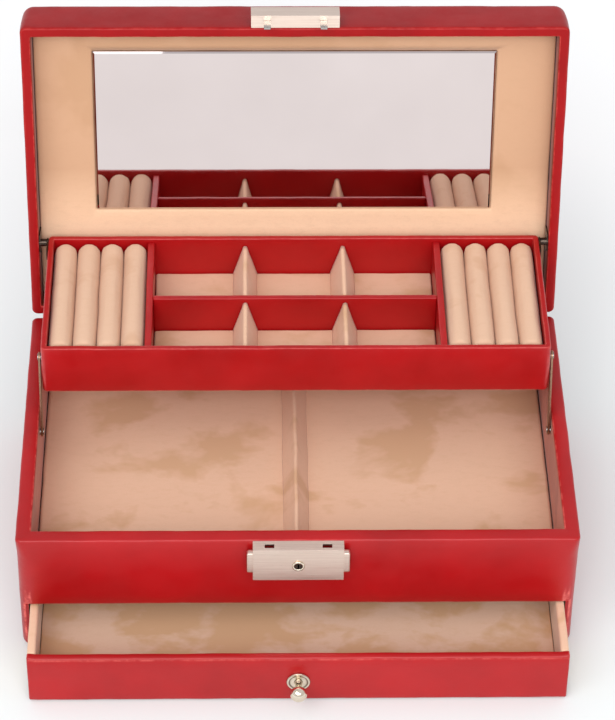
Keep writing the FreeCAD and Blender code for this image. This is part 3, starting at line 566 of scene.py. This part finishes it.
def make_base_hide():
    """The hide round the outside of the base, cut out for the drawer."""
    low, high = node_box("base_leather")
    slot_low, slot_high = node_box("drawer_shelf")
    slot_x, slot_top = slot_high.x, slot_low.z
    inner_x = node_box("compartment_lining")[1].x - 0.75
    width = high.x - inner_x
    path = [(6.0, low.z)] + rim_profile(low.z, high.z, width, HIDE, 1.4)
    path = [p for p in path if p[1] < slot_top - 4 or p[0] > 0.01 or p[1] > slot_top + 4]
    flat = [(0.0, slot_top + gap) for gap in (-SLOT_CORNER, -2.25, -1.5, -0.75, 0.0, 0.35, 0.8, 1.5)]
    place = next(i for i, p in enumerate(path) if p[0] < 0.01 and p[1] > slot_top)
    path[place:place] = flat
    rings = []
    for inset, z in path:
        half = (high.x - inset, high.y - inset)
        ring = outline((0, 0), half, corner_at(high.z - z, inset, 16.0), (96, 50, 8))
        rings.append([(x, y, z) for x, y in ring])

    def keep(middle):
        in_front = middle.y < low.y + 8
        return not (in_front and abs(middle.x) < slot_x and middle.z < slot_top)

    points, faces = loft(rings, keep=keep)
    used = sorted({corner for face in faces for corner in face})
    fresh = {old: new for new, old in enumerate(used)}
    shaped = []
    for old in used:
        x, y, z = points[old]
        if y < low.y + 8 and z < slot_top + 1.6:
            side = abs(x) - slot_x
            if abs(side) < 1.4 and z < slot_top + 0.1:
                x = math.copysign(slot_x, x)
            gap = max(0.0, z - slot_top) if side < 0 else side
            y += 0.9 * max(0.0, 1 - gap / 1.5) ** 2
        bulge = 0.35 * math.exp(-((x / 22) ** 2) - ((z - high.z + 4) / 5) ** 2) if y < low.y + 1 else 0.0
        shaped.append((x, y - bulge, z))
    faces = [[fresh[corner] for corner in face] for face in faces]
    hide = build("base_hide", shaped, faces, "base", "red_leather", ["base_leather"], waver=0.16)
    thicken(hide, HIDE - 0.2)


def make_compartment():
    """Suede round the inside, the padded floor and the ridge that divides it."""
    low, high = node_box("compartment_lining")
    floor_low, floor_high = node_box("compartment_floor")
    rings = []
    for inset, z in ((0.02, low.z), (0.02, high.z), (0.75, high.z + 0.02), (0.75, high.z - 0.6),
                     (0.72, floor_high.z + 8), (0.7, floor_high.z + 1.0), (0.75, low.z)):
        ring = outline((0, 0), (high.x - inset, high.y - inset), 0.5, (60, 36, 2))
        rings.append([(x, y, z) for x, y in ring])
    rings.append(rings[0])
    points, faces = loft(rings)
    build("compartment_suede", points, faces, "base", "suede", ["compartment_lining"],
          waver=0.08, paint="wall_suede")
    crown = 0.5

    def dish(spot):
        edge = min(floor_high.x - abs(spot.x), floor_high.y - abs(spot.y))
        if spot.z > floor_high.z - 2.5:
            spot.z += crown * min(1.0, edge / 9.0) - 0.6
        return spot

    points, faces = soft_box(floor_low, floor_high, 2.0, 5.0, dish)
    pad = build("compartment_carpet", points, faces, "base", "suede", ["compartment_floor"], waver=0.22)
    low, high = node_box("compartment_ridge")
    fin = tent_outline(0.0, high.x, low.z - 0.4, high.z - low.z + 0.4, 1.15)
    points, faces = extrude(fin, low.y, high.y, 30)
    build("compartment_divider", points, faces, "base", "suede", ["compartment_ridge"], waver=0.3)


def tent_outline(middle, half, foot, rise, tip):
    """Section of a suede tent: a rounded top over sides that spread at the foot."""
    right = []
    for number in range(9):
        part = number / 9
        right.append((tip + (half - tip) * (1 - part) ** 1.04, foot + (rise - tip) * part))
    crown = [(tip * math.cos(math.radians(a)), foot + rise - tip + tip * math.sin(math.radians(a)))
             for a in (12, 32, 52, 72, 90)]
    half_line = right + crown
    left = [(-x, z) for x, z in reversed(half_line[:-1])]
    return [(middle + x, z) for x, z in half_line + left]


def extrude(section, near, far, count, pinch=None):
    """A section of (x, z) points carried along Y; pinch shrinks it near its ends."""
    middle = sum(x for x, z in section) / len(section)
    foot = min(z for x, z in section)
    rings = []
    for y in levels(near, far, count):
        scale = pinch(min(y - near, far - y)) if pinch else 1.0
        rings.append([(middle + (x - middle) * scale, y, foot + (z - foot) * scale) for x, z in section])
    points, faces = loft(rings, cap_first=True, cap_last=True)
    return points, [face[::-1] for face in faces]


# ---------------------------------------------------------------- drawer

def make_drawer():
    """The covered drawer front, its three inner walls and the thin carpet."""
    low, high = node_box("drawer_front_leather")

    def swell(spot):
        middle = 1 - abs(2 * (spot.z - low.z) / (high.z - low.z) - 1) ** 3
        under_top = max(0.0, 1 - (high.z - spot.z) / 2.6)
        if spot.y < low.y + 1.2:
            spot.y += 0.7 * under_top ** 2 - 0.25 * middle
        ear = max(0.0, 1 - (high.x - abs(spot.x)) / 3.2)
        spot.z += 0.9 * ear ** 2 * under_top
        return spot

    points, faces = soft_box(low, high, 0.9, 3.0, swell)
    build("drawer_hide", points, faces, "drawer", "red_leather",
          ["drawer_front_leather", "drawer_front_board"], waver=0.18)
    for side in ("left", "right"):
        points, faces = soft_box(*node_box(f"drawer_side_{side}"), 1.3, 5.0)
        build(f"drawer_wall_{side}", points, faces, "drawer", "suede", [f"drawer_side_{side}"], waver=0.15)
    points, faces = soft_box(*node_box("drawer_back"), 1.3, 5.0)
    build("drawer_wall_back", points, faces, "drawer", "suede", ["drawer_back"], waver=0.15)
    low, high = node_box("drawer_pad")

    def crown(spot):
        edge = min(high.x - abs(spot.x), spot.y - low.y, high.y - spot.y)
        spot.z += 0.3 * min(1.0, edge / 8.0) if spot.z > high.z - 0.6 else 0.0
        return spot

    points, faces = soft_box(low, high, 0.75, 5.0, crown)
    pad = build("drawer_carpet", points, faces, "drawer", "suede", ["drawer_pad"],
                waver=0.14, paint="drawer_suede")


def lathe(name, profile, centre, body, slot, replaced):
    """A turned piece whose axis runs along -Y from centre; profile is (radius, out)."""
    count = 48
    rings = []
    for radius, out in profile:
        rings.append([(centre.x + radius * math.cos(math.tau * i / count), centre.y - out,
                       centre.z + radius * math.sin(math.tau * i / count)) for i in range(count)])
    points, faces = loft(rings, cap_first=True, cap_last=True)
    return build(name, points, faces, body, slot, replaced)


def make_knob():
    """The turned rosette and the round pull on its stem."""
    low, high = node_box("knob_rosette")
    centre = Vector((0.0, high.y, (low.z + high.z) / 2))
    radius, thick = high.x, high.y - low.y
    dish = [(radius, 0.0)] + arc((radius - 0.5, thick - 0.5), 0.5, 0, 90, 4)
    dish += [(radius - 1.2, thick), (radius - 1.5, thick - 0.25)]
    dish += [(radius - 2.4, thick - 0.35), (1.6, thick - 0.2)]
    lathe("rosette", dish, centre, "drawer", "polished_nickel", ["knob_rosette"])
    ball_low, ball_high = node_box("drawer_knob")
    ball = ball_high.z - centre.z
    tip = high.y - ball_low.y
    flat = 0.92
    middle = tip - ball * flat
    stem = [(2.3, thick - 0.4), (1.8, thick + 0.5), (1.6, thick + 1.6), (1.6, middle - ball * flat - 0.6)]
    stem += [(ball * math.cos(math.radians(a)), middle + ball * flat * math.sin(math.radians(a)))
             for a in range(-64, 86, 6)]
    lathe("pull", stem, centre, "drawer", "polished_nickel", ["drawer_knob"])


# ---------------------------------------------------------------- lid

def make_lid():
    """The hide over the lid, rolled round its rim, and the suede along its inner sides."""
    low, high = shut_box("lid_leather")
    lining_low, lining_high = shut_box("lid_lining")
    width = high.x - lining_high.x + 0.75
    roll, shoulder = 1.3, 5.5
    hide_counts, lining_counts = (96, 50, 8), (60, 36, 2)
    path = [(width, low.z + HIDE)]
    path += arc((width - 0.8, low.z + 0.8), 0.8, 0, -90, 4)
    path += arc((roll, low.z + roll), roll, 270, 180, 5)
    path += [(-0.15 * math.sin(math.pi * part), low.z + roll + (high.z - low.z - roll - shoulder) * part)
             for part in levels(0, 1, 8)[1:-1]]
    path += arc((shoulder, high.z - shoulder - 0.5), shoulder, 180, 90, 8)
    path += [(inset, high.z - 0.5 + 0.9 * math.sin(math.pi / 2 * min(1, (inset - shoulder) / 45)))
             for inset in (9, 14, 20, 28, 38, 50, 62)]
    rings = []
    for inset, z in path:
        half = (high.x - inset, high.y - inset)
        ring = outline((0, 0), half, corner_at(z - low.z, inset, 40.0), hide_counts)
        rings.append([(x, y, z) for x, y in ring])
    points, faces = loft(rings, cap_last=True)
    # The lid's hide takes lid_leather, the red leather painted darker as painted shade.
    hide = build("lid_hide", points, faces, "lid", "red_leather", ["lid_leather", "lid_foam"], LID_REST,
                 waver=0.16, paint="lid_leather")
    thicken(hide, HIDE - 0.2)
    rings = []
    for inset, z in ((0.02, lining_low.z), (0.02, lining_high.z), (0.75, lining_high.z),
                     (0.72, lining_high.z - 4), (0.72, lining_low.z + 4), (0.75, lining_low.z),
                     (0.02, lining_low.z)):
        ring = outline((0, 0), (lining_high.x - inset, lining_high.y - inset), 0.5, lining_counts)
        rings.append([(x, y, z) for x, y in ring])
    points, faces = loft(rings)
    build("lid_suede", points, faces, "lid", "suede", ["lid_lining"], LID_REST,
          waver=0.06, paint="side_suede")


def make_mirror():
    """The suede panel, a frame round the recess, and the bevelled glass in it."""
    low, high = shut_box("lid_panel")
    glass_low, glass_high = shut_box("mirror")
    middle = (glass_low + glass_high) / 2
    half = (glass_high - glass_low) / 2
    wide = (high - low) / 2
    centre = (low + high) / 2
    counts = (60, 40, 3)

    def frame_ring(part, z, gap=0.0, back=0.0):
        """A rectangle between the panel's outline, at 0, and the mirror's, at 1."""
        place = [centre[i] + (middle[i] - centre[i]) * part for i in range(2)]
        size = [wide[i] + (half[i] - wide[i]) * part - gap + back for i in range(2)]
        return [(x, y, z) for x, y in outline(place, size, 0.8, counts)]

    rings = [frame_ring(0, high.z), frame_ring(0, low.z + 0.8), frame_ring(0, low.z + 0.3, 0.3),
             frame_ring(0, low.z, 1.0)]
    rings += [frame_ring(part, low.z - 0.25 * math.sin(math.pi * part))
              for part in (0.12, 0.3, 0.5, 0.7, 0.9)]
    rings += [frame_ring(1, low.z, 0, 1.4), frame_ring(1, low.z + 0.25, 0, 0.7),
              frame_ring(1, low.z + 0.7, 0, 0.45),
              frame_ring(1, glass_high.z, 0, 0.4)]
    points, faces = loft(rings, cap_last=True)
    faces = [face[::-1] for face in faces]
    back = list(range(len(rings[0])))
    faces.append(back)
    build("mirror_surround", points, faces, "lid", "suede", ["lid_panel"], LID_REST,
          waver=0.12, paint="panel_suede")
    bevel = 1.0
    spans = [(0.0, glass_high.z), (0.0, glass_low.z + 0.75)]
    spans += [(0.15, glass_low.z + 0.6), (bevel, glass_low.z + 0.02)]
    rings = []
    for inset, z in spans:
        ring = outline((middle.x, middle.y), (half.x - inset, half.y - inset), 0.3, (1, 1, 1))
        rings.append([(x, y, z) for x, y in ring])
    points, faces = loft(rings, cap_first=True, cap_last=True)
    faces = [face[::-1] for face in faces]
    glass = build("mirror_plate", points, faces, "lid", "mirror_glass", ["mirror"], LID_REST)
    glass.data.polygons.foreach_set("use_smooth", [False] * len(glass.data.polygons))


# ---------------------------------------------------------------- tray

def make_tray():
    """One hide round the tray's four walls, and the covered partitions."""
    front_low, front_high = node_box("tray_front")
    back_high = node_box("tray_back")[1]
    side_low, side_high = node_box("tray_side_right")
    wall = side_high.x - side_low.x
    middle = (0.0, (front_low.y + back_high.y) / 2)
    half = (side_high.x, (back_high.y - front_low.y) / 2)
    foot, top = front_low.z, front_high.z
    roll, counts = 0.75, (90, 34, 5)
    path = [(12.0, foot)]
    path += arc((1.4, foot + 1.4), 1.4, 270, 180, 4)
    path += [(-0.12 * math.sin(math.pi * part), foot + 1.4 + (top - foot - 1.4 - roll) * part)
             for part in levels(0, 1, 7)[1:-1]]
    path += arc((roll, top - roll), roll, 180, 90, 5)
    path += [(wall / 2, top - 0.06)]
    path += arc((wall - roll, top - roll), roll, 90, 0, 5)
    path += [(wall, z) for z in levels(top - roll, foot + 2.0, 6)[1:]]
    path += [(12.0, foot + 2.0)]
    rings = []
    for inset, z in path:
        radius = max(2.2 - inset, 0.4)
        ring = outline(middle, (half[0] - inset, half[1] - inset), radius, counts)
        rings.append([(x, y, z) for x, y in ring])
    points, faces = loft(rings, cap_first=True, cap_last=True)
    build("tray_hide", points, faces, "tray", "red_leather",
          ["tray_side_left", "tray_side_right", "tray_front", "tray_back", "tray_bottom"], waver=0.16)
    for node in ("tray_partition_left", "tray_partition_right", "tray_cross_partition"):
        low, high = node_box(node)
        points, faces = soft_box(low, high, 0.7, 4.0)
        build(f"{node}_hide", points, faces, "tray", "red_leather", [node], waver=0.12)


def make_tray_linings():
    """The carpets and tent-shaped ridges of the tray's two rows."""
    low, high = node_box("tray_floors")
    cross_low, cross_high = node_box("tray_cross_partition")
    crowns = {"front": (low.y, cross_low.y - 0.3), "rear": (cross_high.y + 0.3, high.y)}
    ridge_low, ridge_high = node_box("tray_ridges")
    offset, tip = 25.0, 1.15
    half = (ridge_high.x - ridge_low.x) / 2 - offset
    for row, (near, far) in crowns.items():
        points, faces = soft_box((low.x, near, low.z), (high.x, far, high.z), 1.1, 4.0)
        pad = build(f"tray_carpet_{row}", points, faces, "tray", "suede",
                    ["tray_floors"] if row == "front" else [], waver=0.18)
        for side, sign in (("left", -1), ("right", 1)):
            section = tent_outline(sign * offset, half, ridge_low.z - 0.3,
                                   ridge_high.z - ridge_low.z + 0.3, tip)
            points, faces = extrude(section, near, far, 14)
            build(f"tray_fin_{row}_{side}", points, faces, "tray", "suede",
                  ["tray_ridges"] if (row, side) == ("front", "left") else [], waver=0.16)


def roll_outline(middle, radius, foot, top):
    """Section of a ring roll: a round crown on sides that draw in at the foot."""
    crown = top - radius
    arch = [(radius * math.cos(math.radians(a)), crown + radius * math.sin(math.radians(a)))
            for a in range(0, 181, 12)]
    right = [(radius * (0.86 + 0.14 * part ** 0.5), foot + (crown - foot) * part)
             for part in (0, 0.2, 0.45, 0.75)]
    left = [(-x, z) for x, z in reversed(right)]
    return [(middle + x, z) for x, z in right + arch + left]


def make_rolls():
    """Eight padded ring rolls, four at each end of the tray."""
    rolls = []
    for side in ("left", "right"):
        low, high = node_box(f"ring_rolls_{side}")
        radius = 5.75
        pitch = (high.x - low.x - 2 * radius) / 3
        for number in range(4):
            section = roll_outline(low.x + radius + number * pitch, radius + 0.02, low.z, high.z + 1.6)

            def domed(gap):
                return 1 - 0.26 * max(0.0, 1 - gap / 3.0) ** 2.2

            points, faces = extrude(section, low.y, high.y + 0.2, 36, domed)
            roll = build(f"ring_roll_{side}_{number + 1}", points, faces, "tray", "roll_suede",
                         [f"ring_rolls_{side}"] if number == 0 else [], waver=0.14)
            rolls.append(roll)
    inflate(rolls)


# ---------------------------------------------------------------- metalwork and hidden boards

METAL = {
    "lock_case": (0.35, "brushed_nickel"), "hasp_plate": (0.35, "brushed_nickel"),
    "release_tab_left": (0.8, "brushed_nickel"), "release_tab_right": (0.8, "brushed_nickel"),
    "hasp_claws": (0.25, "steel"), "key_escutcheon": (0.3, "polished_nickel"),
    # key_rotor, tray_ears and lid_brackets take steel painted near black as painted shade
    "key_rotor": (0.12, "painted_shade_steel"), "arm_left": (0.2, "arm_nickel"), "arm_right": (0.2, "arm_nickel"),
    "base_arm_studs": (0.1, "steel"), "tray_arm_studs": (0.1, "steel"), "tray_ears": (0.15, "painted_shade_steel"),
    "lid_brackets": (0.15, "painted_shade_steel"), "hinge_leaf_base": (0.12, "brushed_nickel"),
    "hinge_leaf_lid": (0.12, "brushed_nickel"), "hinge_pin": (0.1, "steel"), "knob_screw": (0.1, "steel"),
}
HIDDEN = {
    "board": ["base_bottom", "base_side_left", "base_side_right", "base_back", "base_front_panel",
              "drawer_shelf", "compartment_frame", "drawer_bottom", "lid_board",
              "lid_side_left", "lid_side_right", "lid_front", "lid_back"],
    "felt": ["base_felt"],
}


def dress_nodes():
    """Bevel and paint the metalwork, and paint the boards that stay hidden."""
    for node, (width, paint) in METAL.items():
        soften(node, width, paint)
    for paint, nodes in HIDDEN.items():
        for node in nodes:
            dress(node, paint)


# ---------------------------------------------------------------- studio

def make_floor():
    """A wide pale sheet under the case, turned cool grey round the case as a painted shadow."""
    reach = 6.0
    mesh = bpy.data.meshes.new("floor")
    mesh.from_pydata([(-reach, -reach, 0), (reach, -reach, 0), (reach, reach, 0), (-reach, reach, 0)], [],
                     [(0, 1, 2, 3)])
    floor = bpy.data.objects.new("floor", mesh)
    paint = Paint("floor_paper", Roughness=0.85, Specular_IOR_Level=0.1)
    paper = paint.ramp(paint.noise(3.0, 2.0), [(0.3, linear(246, 247, 246)), (0.7, linear(248, 249, 248))])
    # painted shadow: the paper turns cool grey within 0.36 m of the case's middle, fully within 0.18 m
    tone = paint.blend(paint.range(paint.painted_shadow_falloff(0.36), 0.0, 1.0, 0.0, 0.5), paper, linear(232, 238, 237))
    mesh.materials.append(paint.use(Base_Color=tone))
    bpy.context.scene.collection.objects.link(floor)


def area_light(name, place, target, size, power):
    """A soft rectangular white light aimed at a point; places and sizes in metres, power in watts."""
    lamp = bpy.data.lights.new(name, "AREA")
    lamp.shape = "RECTANGLE"
    lamp.size, lamp.size_y = size
    lamp.energy = power
    light = bpy.data.objects.new(name, lamp)
    light.location = place
    light.rotation_euler = (Vector(target) - Vector(place)).to_track_quat("-Z", "Y").to_euler()
    bpy.context.scene.collection.objects.link(light)


def make_studio():
    """The floor, two soft lights and a pale surround."""
    make_floor()
    area_light("overhead", (-1.7, -2.3, 3.2), (0.0, 0.0, 0.1), (2.8, 2.8), 58.0)
    area_light("front_fill", (0.5, -4.1, 3.3), (0.0, 0.0, 0.1), (4.0, 2.0), 128.0)
    world = bpy.data.worlds.new("studio")
    world.use_nodes = True
    world.node_tree.nodes["Background"].inputs["Color"].default_value = (0.93, 0.93, 0.96, 1)
    world.node_tree.nodes["Background"].inputs["Strength"].default_value = 0.8
    bpy.context.scene.world = world
    bpy.context.scene.view_settings.view_transform = "Standard"


def make_camera():
    """The view that the case was fitted to; angles in degrees, place in millimetres."""
    sensor, image_wide, image_high = 36.0, 615, 720
    focal, centre_x, centre_y = 2999.8, 304.25, 316.7
    pitch, yaw, roll = (math.radians(angle) for angle in (40.964, 1.491, 0.802))
    place = Vector((-24.97, -1090.57, 1091.41)) * MM
    ahead = Vector((math.sin(yaw) * math.cos(pitch), math.cos(yaw) * math.cos(pitch), -math.sin(pitch)))
    right = ahead.cross(Vector((0, 0, 1))).normalized()
    upward = right.cross(ahead)
    across = right * math.cos(roll) + upward * math.sin(roll)
    above = upward * math.cos(roll) - right * math.sin(roll)
    lens = bpy.data.cameras.new("camera")
    lens.sensor_width = sensor
    lens.lens = focal * sensor / image_high
    lens.shift_x = (image_wide / 2 - centre_x) / image_high
    lens.shift_y = (centre_y - image_high / 2) / image_high
    camera = bpy.data.objects.new("camera", lens)
    camera.matrix_world = Matrix.Translation(place) @ Matrix((across, above, -ahead)).transposed().to_4x4()
    bpy.context.scene.collection.objects.link(camera)
    bpy.context.scene.camera = camera


make_camera()
make_studio()
make_base_hide()
make_compartment()
make_drawer()
make_knob()
make_lid()
make_mirror()
make_tray()
make_tray_linings()
make_rolls()
dress_nodes()
